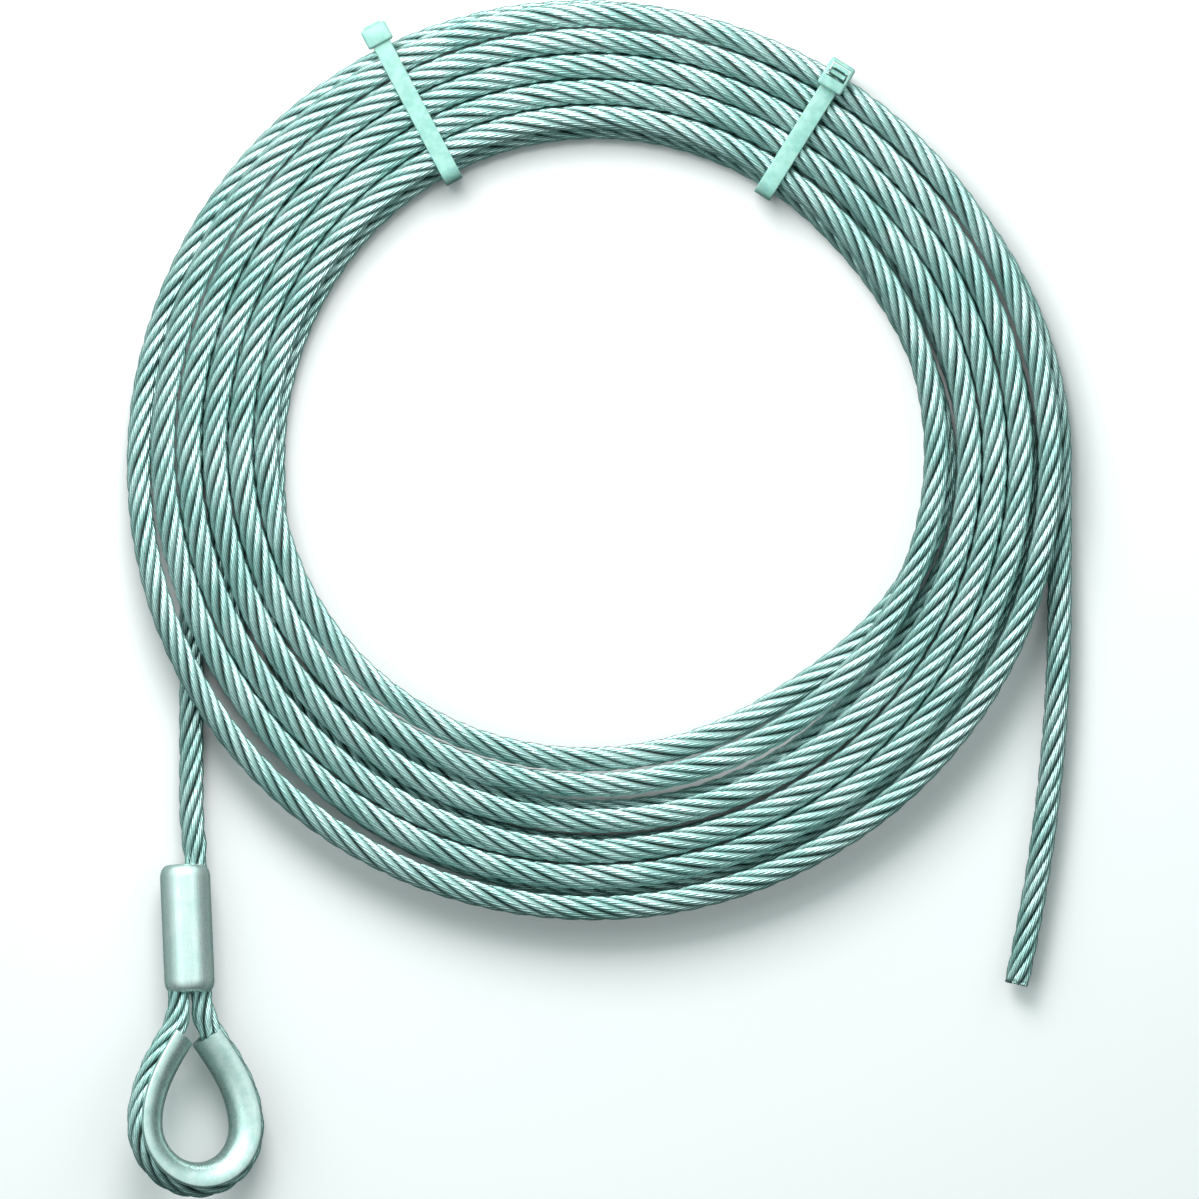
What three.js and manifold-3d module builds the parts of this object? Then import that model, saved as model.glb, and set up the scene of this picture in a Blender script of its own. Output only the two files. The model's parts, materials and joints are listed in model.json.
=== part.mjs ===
// Wire rope sling: a coil of 6 mm six-strand rope with a thimble eye at one end and a cut tail at the other,
// held together by two cable ties. Millimetres. +Z is up, +X is right and +Y points away from the eye.
// The coil lies flat, the undersides of the ties are on z = 0, and the origin is the middle of the footprint.
import * as THREE from "three";
import { mergeVertices } from "three/addons/utils/BufferGeometryUtils.js";
import Module from "manifold-3d";

const wasm = await Module();
wasm.setup();

const { degToRad, lerp, smoothstep } = THREE.MathUtils;
const TURN = 2 * Math.PI;
const UP = new THREE.Vector3(0, 0, 1);

// The rope: six strands round a fibre core, right-hand lay.
const ROPE_RADIUS = 3.15;
const LAY_LENGTH = 37;
const STRANDS = 6;
const STRAND_RADIUS = 0.9;
const STRAND_HELIX_RADIUS = 2.1;
const CORE_RADIUS = 0.88;
const STRAND_SIDES = 5;
const STEPS_PER_LAY = 10;
const ROPE_SIDES = 8;

// The cable ties: 4.8 mm class, one moulding with a spring pawl in the head.
const STRAP_THICKNESS = 1.2;
const STRAP_WIDTH = 4.6;
const STRAP_GAP = 0.35;
const STRAP_INNER_GAP = 0.75;
const STRAP_CORNER = 2.5;
const CORNER_STEPS = 4;
const HEAD = { near: 0.1, far: 5.0, low: -5.2, high: 2.4, width: 6.8 };
const WINDOW = { low: -2.4, high: STRAP_THICKNESS + 0.3, width: 5.1 };
const STUB = 0.6;
const ROOT_START = -2.9;
const PAWL = { hinge: 0.9, length: 2.9, low: -1.65, high: -0.35, width: 4.2, teeth: 3 };
const LEFT_TIE_ANGLE = degToRad(118);
const RIGHT_TIE_ANGLE = degToRad(58);

// The coil: an inward spiral on the lower layer, an outward one on the upper layer, and a last half turn
// that drops back to the lower layer and leaves as the tail. Positions along it are counted in turns,
// clockwise from the left.
const COIL_CENTRE = new THREE.Vector3(0.052, 35.796, 0);
const LAYER_STEP = 6.45;
const LOWER_Z = STRAP_THICKNESS + STRAP_GAP + ROPE_RADIUS;
const UPPER_Z = LOWER_Z + LAYER_STEP;
const COIL_TURNS = 9.5;
const STEPS_PER_TURN = 32;
const LOWER_RADIUS = 102.05;
const LOWER_SPACING = 6.8;
const UPPER_RADIUS = 82.25;
const UPPER_SPACING = 6.42;
const UPPER_START = 4;

// Where the rope swings inwards and climbs to the upper layer, and where it drops and tucks in again.
const SWING = { from: 3.5, to: 3.66 };
const CLIMB = { from: 3.64, to: 3.8 };
const DROP = { from: 8.935, to: 9.06 };
const TUCK = { from: 8.875, to: 9.4, depth: 7.2 };
const RELEASE = { from: 9.36, to: COIL_TURNS, depth: 3.2 };

// Every lower turn bulges out on the right and below, step by step, and comes back at its end.
const BULGES = [
  { from: 0, to: 0.2, width: 2 },
  { from: 0.37, to: 0.54, width: 6.6 },
  { from: 0.54, to: 0.85, width: 2.4 },
  { from: 0.86, to: 1, width: -11 },
];

// Two lower turns lie further in below, where they fill the gaps of the upper layer.
const FILLS = [
  { from: 1.62, to: 1.72, width: -2.6 },
  { from: 1.86, to: 2, width: 2.6 },
  { from: 2.5, to: 2.6, width: -4.6 },
  { from: 2.86, to: 3, width: 4.6 },
];

// The band isn't round: it is wider towards one side and dented at three angles.
const SWAY = { width: 1.55, angle: degToRad(135) };
const DENTS = [
  { angle: degToRad(55), depth: 1.7, sharpness: 8 },
  { angle: degToRad(-105), depth: 1.2, sharpness: 6 },
  { angle: degToRad(-75), depth: 2.7, sharpness: 5 },
];

// Gaps in the upper layer: beside that turn, and in every turn outside it, the rope lies further out.
const GAPS = [
  { turn: 5.5, width: 1.6, sharpness: 6 },
  { turn: 5.708, width: 2.7, sharpness: 5 },
  { turn: 6.8, width: 1.3, sharpness: 6 },
  { turn: 8.64, width: 1.8, sharpness: 3 },
  { turn: 8.9, width: 1.7, sharpness: 10 },
];

// The leg to the eye, and the tail. Distances are measured down from the coil's centre.
const LEG_SWING_AT = 68;
const LEG_LIFT_AT = 86;
const LEG_SLOPE = Math.tan(degToRad(4.5));
const LEG_BEND = { from: 66, to: 78 };
const TAIL_SWING_AT = 32;
const TAIL_LIFT_AT = 50;
const TAIL_STRAIGHT = 36;
const TAIL_CURVE = 0.00117;
const TAIL_END = 132;
const JOINT_GAP = 1.6;

// The eye end: a pressed ferrule and a thimble, in a frame whose origin is the middle of the ferrule's
// upper end, with -Y down towards the crown of the eye.
const EYE_ORIGIN = new THREE.Vector3(-103.7, -102.4, 8.2);
const EYE_YAW = degToRad(2.5);
const EYE_PITCH = degToRad(-4.5);
const EYE_ROLL = degToRad(22);
const FERRULE_LENGTH = 32;
const FERRULE_RADIUS = 6.25;
const FERRULE_END_RADIUS = 5.3;
const FERRULE_TAPER = 3.2;
const BORE_OFFSET = 3;
const BORE_RADIUS = 2.8;
const SQUEEZE = 0.87;
const DEAD_END = 2.5;
const CROWN_Y = -65.2;
const CROWN_STEPS = 8;
const SECTION_STEPS = 7;
const GROOVE_CROWN_RADIUS = 14.6;
const GROOVE_RADIUS = 3.55;
const THIMBLE_RADIUS = 5.4;
const FLANGE = 1.3;
const THIMBLE_TIP = { x: 4.95, y: -42.2 };
const TIP_ANGLE = degToRad(35);
const TIP_LEAN = new THREE.Vector3(Math.sin(TIP_ANGLE), -Math.cos(TIP_ANGLE), 0);
const TIP_OUTWARD = new THREE.Vector3(Math.cos(TIP_ANGLE), Math.sin(TIP_ANGLE), 0);
const TIP_REACH = 8;
const CROWN_REACH = 9;
const SIDE_STEPS = 8;
const THROAT_REACH = { mouth: 4.5, tip: 3 };
const THROAT_STEPS = 5;
const LEAD_REACH = 6;
const ROPE_STAND_OFF = 0.45;

// ---- Solids ----

// A closed tube through rings of points. Every ring runs anticlockwise seen against the direction of travel.
function loft(rings) {
  const sides = rings[0].length;
  const positions = rings.flat().flatMap((p) => [p.x, p.y, p.z]);
  const index = [];
  for (let ring = 0; ring < rings.length - 1; ring++) {
    for (let side = 0; side < sides; side++) {
      const a = ring * sides + side;
      const b = ring * sides + ((side + 1) % sides);
      index.push(a, b, b + sides, a, b + sides, a + sides);
    }
  }
  const last = (rings.length - 1) * sides;
  const caps = THREE.ShapeUtils.triangulateShape(flatten(rings[0]), []);
  const endCaps = THREE.ShapeUtils.triangulateShape(flatten(rings.at(-1)), []);
  for (const [a, b, c] of caps) index.push(a, c, b);
  for (const [a, b, c] of endCaps) index.push(last + a, last + b, last + c);
  const geometry = new THREE.BufferGeometry();
  geometry.setAttribute("position", new THREE.Float32BufferAttribute(positions, 3));
  geometry.setIndex(index);
  return geometry;
}

// The ring's points in its own plane, with its normal towards the viewer.
function flatten(ring) {
  const centre = ring.reduce((sum, p) => sum.add(p), new THREE.Vector3()).divideScalar(ring.length);
  const normal = new THREE.Vector3();
  ring.forEach((p, i) => {
    const next = ring[(i + 1) % ring.length];
    normal.add(p.clone().sub(centre).cross(next.clone().sub(centre)));
  });
  const across = ring[0].clone().sub(centre).normalize();
  const along = normal.normalize().clone().cross(across);
  return ring.map((p) => {
    const offset = p.clone().sub(centre);
    return new THREE.Vector2(offset.dot(across), offset.dot(along));
  });
}

function toSolid(geometry) {
  const plain = geometry.clone();
  plain.deleteAttribute("normal");
  plain.deleteAttribute("uv");
  const merged = mergeVertices(plain, 1e-4);
  const vertProperties = Float32Array.from(merged.attributes.position.array);
  const triVerts = Uint32Array.from(merged.index.array);
  return new wasm.Manifold(new wasm.Mesh({ numProp: 3, vertProperties, triVerts }));
}

function toGeometry(solid) {
  const mesh = solid.getMesh();
  const geometry = new THREE.BufferGeometry();
  geometry.setAttribute("position", new THREE.BufferAttribute(mesh.vertProperties, 3));
  geometry.setIndex(new THREE.BufferAttribute(mesh.triVerts, 1));
  return geometry;
}

function box(x, y, z) {
  const size = [x, y, z].map(([low, high]) => high - low);
  const middle = [x, y, z].map(([low, high]) => (low + high) / 2);
  return new THREE.BoxGeometry(...size).translate(...middle);
}

// ---- The rope's path ----

// A smooth step from 0 to 1 over a span of the coil.
function over(turn, span) {
  return smoothstep(turn, span.from, span.to);
}

// A round hump, 1 in the middle, that is narrower the sharper it is.
function hump(angle, sharpness) {
  return ((1 + Math.cos(angle)) / 2) ** sharpness;
}

// Height of the rope's layer at a place along the coil: 0 on the lower layer, 1 on the upper one.
function layerAt(turn) {
  return over(turn, CLIMB) - over(turn, DROP);
}

function lowerRadius(turn) {
  let radius = LOWER_RADIUS - LOWER_SPACING * turn;
  for (const step of BULGES) radius += step.width * over(turn % 1, step);
  for (const step of FILLS) radius += step.width * over(turn, step);
  return radius;
}

function upperRadius(turn) {
  const angle = Math.PI - TURN * turn;
  let radius = UPPER_RADIUS + UPPER_SPACING * (turn - UPPER_START);
  radius += SWAY.width * Math.cos(angle - SWAY.angle);
  for (const dent of DENTS) radius -= dent.depth * hump(angle - dent.angle, dent.sharpness);
  for (const gap of GAPS) {
    if (turn > gap.turn - 0.5) radius += gap.width * hump(TURN * (turn - gap.turn), gap.sharpness);
  }
  return radius;
}

function coilRadius(turn) {
  const radius = lerp(lowerRadius(turn), upperRadius(turn), over(turn, SWING));
  return radius - TUCK.depth * over(turn, TUCK) + RELEASE.depth * over(turn, RELEASE);
}

function coilPoint(turn) {
  const angle = Math.PI - TURN * turn;
  const radius = coilRadius(turn);
  const z = lerp(LOWER_Z, UPPER_Z, layerAt(turn));
  return new THREE.Vector3(radius * Math.cos(angle), radius * Math.sin(angle), z);
}

const LEG_X = -coilRadius(0);
const TAIL_X = coilRadius(COIL_TURNS);

function legPoint(down) {
  const { from, to } = LEG_BEND;
  const bent = Math.max(0, Math.min(down, to) - from) ** 2 / (2 * (to - from));
  const rise = LEG_SLOPE * (bent + Math.max(0, down - to));
  return new THREE.Vector3(LEG_X, -down, LOWER_Z + rise);
}

function tailPoint(down) {
  const past = Math.max(0, down - TAIL_STRAIGHT);
  return new THREE.Vector3(TAIL_X - TAIL_CURVE * past ** 2, -down, LOWER_Z);
}

// Half of the groove's outline in the eye's frame, from the crown up the right side to the tip. The first
// point stands half a step off the middle, so that the crown itself is a flat facet.
function eyeSide(offset) {
  const radius = GROOVE_CROWN_RADIUS + offset;
  const crown = [];
  for (let step = 0.5; step <= CROWN_STEPS; step++) {
    const angle = (-Math.PI / 2) * (1 - step / (CROWN_STEPS - 0.5));
    crown.push(new THREE.Vector3(radius * Math.cos(angle), CROWN_Y + radius * Math.sin(angle), 0));
  }
  const tip = new THREE.Vector3(THIMBLE_TIP.x, THIMBLE_TIP.y, 0).addScaledVector(TIP_OUTWARD, offset);
  const side = new THREE.CubicBezierCurve3(
    crown.at(-1),
    new THREE.Vector3(radius, CROWN_Y + CROWN_REACH, 0),
    tip.clone().addScaledVector(TIP_LEAN, TIP_REACH),
    tip,
  );
  return [...crown, ...side.getPoints(SIDE_STEPS).slice(1)];
}

const mirrored = (p) => new THREE.Vector3(-p.x, p.y, p.z);
const eyeFrame = new THREE.Group();
eyeFrame.position.copy(EYE_ORIGIN);
eyeFrame.rotation.set(EYE_PITCH, EYE_ROLL, EYE_YAW, "ZXY");
eyeFrame.updateMatrix();

// The rope from the leg, down through the ferrule, round the thimble and back up into the ferrule.
function eyeRopePath() {
  const start = LEG_LIFT_AT + JOINT_GAP / 2;
  const entry = new THREE.Vector3(BORE_OFFSET, 0, 0).applyMatrix4(eyeFrame.matrix);
  const down = new THREE.Vector3(0, -1, 0).transformDirection(eyeFrame.matrix);
  const lead = new THREE.CubicBezierCurve3(
    legPoint(start),
    legPoint(start + LEAD_REACH),
    entry.clone().addScaledVector(down, -LEAD_REACH),
    entry,
  ).getPoints(4);
  const mouth = new THREE.Vector3(BORE_OFFSET, -FERRULE_LENGTH, 0);
  const side = eyeSide(ROPE_STAND_OFF);
  const tip = side.at(-1);
  const throat = new THREE.CubicBezierCurve3(
    mouth,
    mouth.clone().add(new THREE.Vector3(0, -THROAT_REACH.mouth, 0)),
    tip.clone().addScaledVector(TIP_LEAN, -THROAT_REACH.tip),
    tip,
  ).getPoints(THROAT_STEPS);
  const bore = [0.25, 0.5, 0.75].map((f) => new THREE.Vector3(BORE_OFFSET, -f * FERRULE_LENGTH, 0));
  const right = [...bore, ...throat, ...side.slice(0, -1).reverse()];
  const left = [...right].reverse().map(mirrored);
  left.push(new THREE.Vector3(-BORE_OFFSET, -DEAD_END, 0));
  const local = [...right, ...left];
  return new THREE.CatmullRomCurve3([...lead, ...local.map((p) => p.applyMatrix4(eyeFrame.matrix))]);
}

// The tail's rope, from its lifting joint to the cut.
function tailRopePath() {
  const start = TAIL_LIFT_AT + JOINT_GAP / 2;
  const points = [];
  for (let step = 0; step <= 12; step++) points.push(tailPoint(lerp(start, TAIL_END, step / 12)));
  return new THREE.CatmullRomCurve3(points);
}

// ---- Pieces ----

const materials = {
  wire: { color: 0xaebfbb, roughness: 0.42, metalness: 0.85 },
  core: { color: 0xb9a77c, roughness: 0.95, metalness: 0 },
  ferrule: { color: 0xd3dcda, roughness: 0.34, metalness: 0.9 },
  zinc: { color: 0xc3d2ce, roughness: 0.38, metalness: 0.85 },
  nylon: { color: 0xd5ece4, roughness: 0.45, metalness: 0 },
};

function piece(name, geometry, finish) {
  const mesh = new THREE.Mesh(geometry, new THREE.MeshStandardMaterial(materials[finish]));
  mesh.name = name;
  return mesh;
}

// A plain rope body: an eight-sided bar whose lowest side is level.
function ropeBar(points) {
  const corner = ROPE_RADIUS / Math.cos(Math.PI / ROPE_SIDES);
  const rings = points.map((point, i) => {
    const before = points[Math.max(0, i - 1)];
    const after = points[Math.min(points.length - 1, i + 1)];
    const travel = after.clone().sub(before).setZ(0).normalize();
    const side = travel.clone().cross(UP);
    return Array.from({ length: ROPE_SIDES }, (_, k) => {
      const angle = (TURN * (k + 0.5)) / ROPE_SIDES;
      const offset = side.clone().multiplyScalar(corner * Math.cos(angle));
      return point.clone().add(offset.addScaledVector(UP, -corner * Math.sin(angle)));
    });
  });
  return loft(rings);
}

function coilRope() {
  const points = [legPoint(LEG_SWING_AT - JOINT_GAP / 2), legPoint(LEG_SWING_AT / 2)];
  const steps = COIL_TURNS * STEPS_PER_TURN;
  for (let step = 0; step <= steps; step++) points.push(coilPoint(step / STEPS_PER_TURN));
  points.push(tailPoint(TAIL_SWING_AT / 2), tailPoint(TAIL_SWING_AT - JOINT_GAP / 2));
  return piece("coil_rope", ropeBar(points), "wire");
}

function ropeLink(name, pointAt, from, to) {
  const [start, end] = [from + JOINT_GAP / 2, to - JOINT_GAP / 2];
  const points = [0, 0.25, 0.5, 0.75, 1].map((f) => pointAt(lerp(start, end, f)));
  return piece(name, ropeBar(points), "wire");
}

// Strands and core swept along a path. squeezeAt gives the rope's thickness there, 1 when it is free.
function laidRope(prefix, path, squeezeAt) {
  const length = path.getLength();
  const steps = Math.ceil((length / LAY_LENGTH) * STEPS_PER_LAY);
  const stations = path.getSpacedPoints(steps);
  const tangents = stations.map((_, i) => {
    const before = stations[Math.max(0, i - 1)];
    const after = stations[Math.min(steps, i + 1)];
    return after.clone().sub(before).normalize();
  });
  const sides = [tangents[0].clone().cross(UP).normalize()];
  for (let i = 1; i <= steps; i++) {
    const turn = new THREE.Quaternion().setFromUnitVectors(tangents[i - 1], tangents[i]);
    sides.push(sides[i - 1].clone().applyQuaternion(turn));
  }
  const around = (i, angle, radius) => {
    const other = tangents[i].clone().cross(sides[i]);
    return sides[i]
      .clone()
      .multiplyScalar(radius * Math.cos(angle))
      .addScaledVector(other, radius * Math.sin(angle));
  };
  const sweep = (name, helixRadius, radius, phase, finish) => {
    const rings = stations.map((station, i) => {
      const scale = squeezeAt(station);
      const twist = phase + (TURN * i * length) / (steps * LAY_LENGTH);
      const centre = station.clone().add(around(i, twist, helixRadius * scale));
      return Array.from({ length: STRAND_SIDES }, (_, k) =>
        centre.clone().add(around(i, twist + (TURN * k) / STRAND_SIDES, radius * scale)),
      );
    });
    return piece(name, loft(rings), finish);
  };
  const pieces = [sweep(`${prefix}_core`, 0, CORE_RADIUS, 0, "core")];
  for (let n = 0; n < STRANDS; n++) {
    const phase = (TURN * n) / STRANDS;
    pieces.push(sweep(`${prefix}_strand_${n + 1}`, STRAND_HELIX_RADIUS, STRAND_RADIUS, phase, "wire"));
  }
  return pieces;
}

// The rope is pressed thinner inside the ferrule.
function eyeSqueeze(station) {
  const y = station.clone().applyMatrix4(eyeFrame.matrix.clone().invert()).y;
  const inside = smoothstep(y, -FERRULE_LENGTH - 6, -FERRULE_LENGTH - 1.5) - smoothstep(y, 0.5, 5);
  return lerp(1, SQUEEZE, inside);
}

// A pressed sleeve with tapered ends and a bore for each of the two rope parts.
function ferrule() {
  const profile = [
    new THREE.Vector2(0, 0),
    new THREE.Vector2(FERRULE_END_RADIUS, 0),
    new THREE.Vector2(FERRULE_RADIUS - 0.25, FERRULE_TAPER * 0.55),
    new THREE.Vector2(FERRULE_RADIUS, FERRULE_TAPER),
    new THREE.Vector2(FERRULE_RADIUS, FERRULE_LENGTH - FERRULE_TAPER),
    new THREE.Vector2(FERRULE_RADIUS - 0.25, FERRULE_LENGTH - FERRULE_TAPER * 0.55),
    new THREE.Vector2(FERRULE_END_RADIUS, FERRULE_LENGTH),
    new THREE.Vector2(0, FERRULE_LENGTH),
  ];
  let solid = toSolid(new THREE.LatheGeometry(profile, 32).translate(0, -FERRULE_LENGTH, 0));
  for (const x of [-BORE_OFFSET, BORE_OFFSET]) {
    const bore = new THREE.CylinderGeometry(BORE_RADIUS, BORE_RADIUS, FERRULE_LENGTH + 2, 20);
    solid = solid.subtract(toSolid(bore.translate(x, -FERRULE_LENGTH / 2, 0)));
  }
  return piece("ferrule", toGeometry(solid), "ferrule");
}

// A bent channel: half a tube round the rope, open outwards, with short straight flanges.
function thimble() {
  const side = eyeSide(0);
  const path = [...[...side].reverse(), ...side.map(mirrored)];
  const rings = path.map((point, i) => {
    const before = path[Math.max(0, i - 1)];
    const after = path[Math.min(path.length - 1, i + 1)];
    const travel = after.clone().sub(before).normalize();
    const outward = UP.clone().cross(travel);
    const place = (out, up) => point.clone().addScaledVector(outward, out).addScaledVector(UP, up);
    const arc = (radius) =>
      Array.from({ length: SECTION_STEPS + 1 }, (_, k) => {
        const angle = Math.PI / 2 + (Math.PI * k) / SECTION_STEPS;
        return place(radius * Math.cos(angle), radius * Math.sin(angle));
      });
    const outer = arc(THIMBLE_RADIUS);
    const inner = arc(GROOVE_RADIUS).reverse();
    const low = [place(FLANGE, -THIMBLE_RADIUS), place(FLANGE, -GROOVE_RADIUS)];
    const high = [place(FLANGE, GROOVE_RADIUS), place(FLANGE, THIMBLE_RADIUS)];
    return [...outer, ...low, ...inner, ...high];
  });
  return piece("thimble", loft(rings), "zinc");
}

// A tie in the plane across the bundle. The head sits at the outer top corner: "a" runs the way the free end
// leaves the head and "b" across it, so swapping them turns the tie's winding round.
function cableTie(prefix, angle, headOnTop) {
  const bundle = bundleAt(angle);
  const alongSize = headOnTop ? bundle.height : bundle.width;
  const acrossSize = headOnTop ? bundle.width : bundle.height;
  const place = (geometry) => {
    // From (a, b, width) to (radial, tangential, up).
    const matrix = new THREE.Matrix4();
    if (headOnTop) matrix.set(0, 1, 0, bundle.outer, 0, 0, 1, 0, 1, 0, 0, bundle.top, 0, 0, 0, 1);
    else matrix.set(1, 0, 0, bundle.outer, 0, 0, -1, 0, 0, 1, 0, bundle.top, 0, 0, 0, 1);
    return geometry.applyMatrix4(matrix);
  };

  // The strap's band: from the root beside the head round three corners and straight out through the head.
  const t = STRAP_THICKNESS;
  const arc = (a, b, from, radius) =>
    Array.from({ length: CORNER_STEPS + 1 }, (_, k) => {
      const turned = from - (Math.PI / 2) * (k / CORNER_STEPS);
      return new THREE.Vector2(a + radius * Math.cos(turned), b + radius * Math.sin(turned));
    });
  const centres = [
    [-STRAP_CORNER, -acrossSize + STRAP_CORNER, 0],
    [-alongSize + STRAP_CORNER, -acrossSize + STRAP_CORNER, -Math.PI / 2],
    [-alongSize + STRAP_CORNER, -STRAP_CORNER, Math.PI],
  ];
  const outside = centres.flatMap(([a, b, from]) => arc(a, b, from, STRAP_CORNER + t));
  const inside = centres.flatMap(([a, b, from]) => arc(a, b, from, STRAP_CORNER));
  const tip = HEAD.far + STUB;
  const outline = [
    new THREE.Vector2(t, ROOT_START),
    ...outside,
    new THREE.Vector2(tip, t),
    new THREE.Vector2(tip, 0),
    ...inside.reverse(),
    new THREE.Vector2(0, ROOT_START),
  ];
  const extrude = (shape, depth) =>
    new THREE.ExtrudeGeometry(shape, { depth, bevelEnabled: false }).translate(0, 0, -depth / 2);
  const strap = toSolid(extrude(new THREE.Shape(outline), STRAP_WIDTH));
  const across = (width) => [-width / 2, width / 2];
  const block = toSolid(box([HEAD.near, HEAD.far], [HEAD.low, HEAD.high], across(HEAD.width)));
  const hole = toSolid(box([-1, HEAD.far + 1], [WINDOW.low, WINDOW.high], across(WINDOW.width)));
  const body = block.subtract(hole).add(strap);

  // The pawl: a toothed finger under the free end, hinged at the side where the strap enters.
  const bite = PAWL.length / PAWL.teeth;
  const finger = [
    new THREE.Vector2(PAWL.hinge, PAWL.low),
    new THREE.Vector2(PAWL.hinge + PAWL.length, PAWL.low + 0.3),
    new THREE.Vector2(PAWL.hinge + PAWL.length, PAWL.high),
  ];
  for (let n = PAWL.teeth - 1; n >= 0; n--) {
    finger.push(new THREE.Vector2(PAWL.hinge + n * bite, PAWL.high - 0.35));
    if (n > 0) finger.push(new THREE.Vector2(PAWL.hinge + n * bite, PAWL.high));
  }
  const tie = new THREE.Group();
  tie.rotation.z = angle;
  tie.add(piece(`${prefix}_strap`, place(toGeometry(body)), "nylon"));
  tie.add(piece(`${prefix}_pawl`, place(extrude(new THREE.Shape(finger), PAWL.width)), "nylon"));
  return tie;
}

// The inside of the strap's loop at an angle round the coil.
function bundleAt(angle) {
  const first = (Math.PI - angle) / TURN;
  const radii = [];
  for (let turn = first; turn < COIL_TURNS; turn++) radii.push(coilRadius(turn));
  const outer = Math.max(...radii) + ROPE_RADIUS + STRAP_GAP;
  const inner = Math.min(...radii) - ROPE_RADIUS - STRAP_INNER_GAP;
  const top = UPPER_Z + ROPE_RADIUS + STRAP_GAP;
  return { outer, top, width: outer - inner, height: top - STRAP_THICKNESS };
}

// ---- The assembly ----

const sling = new THREE.Group();
sling.position.copy(COIL_CENTRE);
eyeFrame.add(ferrule(), thimble());
sling.add(
  coilRope(),
  ropeLink("leg_rope", legPoint, LEG_SWING_AT, LEG_LIFT_AT),
  ...laidRope("eye", eyeRopePath(), eyeSqueeze),
  eyeFrame,
  ropeLink("tail_rope", tailPoint, TAIL_SWING_AT, TAIL_LIFT_AT),
  ...laidRope("tail", tailRopePath(), () => 1),
  cableTie("left_tie", LEFT_TIE_ANGLE, false),
  cableTie("right_tie", RIGHT_TIE_ANGLE, true),
);

export default sling;
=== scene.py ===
"""Looks of a wire rope sling: the rope's strands and wires, the pressed ferrule, the thimble and two ties.

Lengths are in millimetres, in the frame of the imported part, and become metres when a mesh is made.
"""

import json
import math

import bpy
import numpy as np
from mathutils import Euler, Matrix, Vector


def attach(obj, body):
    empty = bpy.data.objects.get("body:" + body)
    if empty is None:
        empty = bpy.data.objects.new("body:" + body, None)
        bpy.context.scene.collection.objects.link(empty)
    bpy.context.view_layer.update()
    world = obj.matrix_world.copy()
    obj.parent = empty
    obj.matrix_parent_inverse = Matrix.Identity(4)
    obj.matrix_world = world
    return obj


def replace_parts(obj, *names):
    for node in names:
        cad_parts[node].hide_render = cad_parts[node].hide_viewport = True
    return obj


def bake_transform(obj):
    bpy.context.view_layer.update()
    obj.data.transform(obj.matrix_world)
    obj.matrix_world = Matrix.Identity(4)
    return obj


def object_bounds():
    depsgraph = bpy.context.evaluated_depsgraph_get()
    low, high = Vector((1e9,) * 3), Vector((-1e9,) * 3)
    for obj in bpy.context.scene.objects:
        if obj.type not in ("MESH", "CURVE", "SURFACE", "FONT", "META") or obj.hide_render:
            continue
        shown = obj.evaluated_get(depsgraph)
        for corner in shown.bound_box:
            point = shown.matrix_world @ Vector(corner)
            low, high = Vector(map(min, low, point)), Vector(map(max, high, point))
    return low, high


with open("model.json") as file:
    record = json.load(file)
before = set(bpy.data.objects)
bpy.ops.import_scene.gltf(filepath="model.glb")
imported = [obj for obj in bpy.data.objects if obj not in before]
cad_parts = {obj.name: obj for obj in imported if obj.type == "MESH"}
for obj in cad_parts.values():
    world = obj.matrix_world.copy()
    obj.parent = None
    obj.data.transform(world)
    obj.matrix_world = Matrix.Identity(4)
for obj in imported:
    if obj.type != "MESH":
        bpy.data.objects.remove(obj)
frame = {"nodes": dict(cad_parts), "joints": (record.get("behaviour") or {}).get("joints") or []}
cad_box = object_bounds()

MM = 0.001
TURN = 2 * math.pi
UP = np.array([0.0, 0.0, 1.0])
JOINTS = {joint["name"]: np.array(joint["pos_m"]) / MM for joint in frame["joints"]}
COIL_CENTRE = JOINTS["left_tie_shift"] * [1, 1, 0]

# The rope.
STRANDS = 6
LAY_LENGTH = 37
STRAND_RADIUS = 1.02
STRAND_HELIX_RADIUS = 2.1
WIRES = 9
WIRE_LAY_LENGTH = 13.5
WIRE_VALLEY = 0.79
WIRE_FACE = 52
POINTS_PER_WIRE = 4
CORE_RADIUS = 1.06
CORE_POINTS = 12
CORE_YARNS = 3
CORE_GROOVE = 0.07
STATION_STEP = 1.1
GRAIN_SHIFT = 20
VALLEY_SHADE = 0.28
STRAND_WAVE = {"size": 0.05, "length": 61, "apart": 2.1}

# The cut wires of the tail: (step along the wire, share of its radius) pairs, and the ends' sizes.
END_PROFILE = [(-0.5, 1.0), (0.0, 1.0), (0.05, 0.9), (0.08, 0.65)]
END_SIDES = 10
END_FILL = 0.93
KING_WIRE = 1.5
END_PROUD = 0.12
# END_DEPTH is the depth that the wire ends carry, so they take little of the wire material's painted shade.
END_DEPTH = 0.9
WIRE_RADIUS = STRAND_RADIUS * math.sin(math.pi / WIRES) / (1 + math.sin(math.pi / WIRES))

# The ties.
STRAP_THICKNESS = 1.2
STRAP_WIDTH = 4.6
STRAP_GAP = 0.35
STRAP_INNER_GAP = 0.75
STRAP_CORNER = 2.5
STRAP_STEP = 0.3
STRAP_EDGE = 0.3
STRAP_RAIL = 0.75
TOOTH_PITCH = 1.2
TOOTH_HEIGHT = 0.32
TOOTH_FOOT = 0.05
HEAD_BEVEL = 0.7
HEAD = {"near": 0.1, "far": 5.0, "low": -5.2, "high": 2.4, "width": 6.8}
WINDOW = {"low": -2.4, "high": STRAP_THICKNESS + 0.3, "width": 5.1}
STUB = 0.6
ROOT_START = -2.9
LEFT_TIE_ANGLE = math.radians(118)
RIGHT_TIE_ANGLE = math.radians(58)

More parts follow.
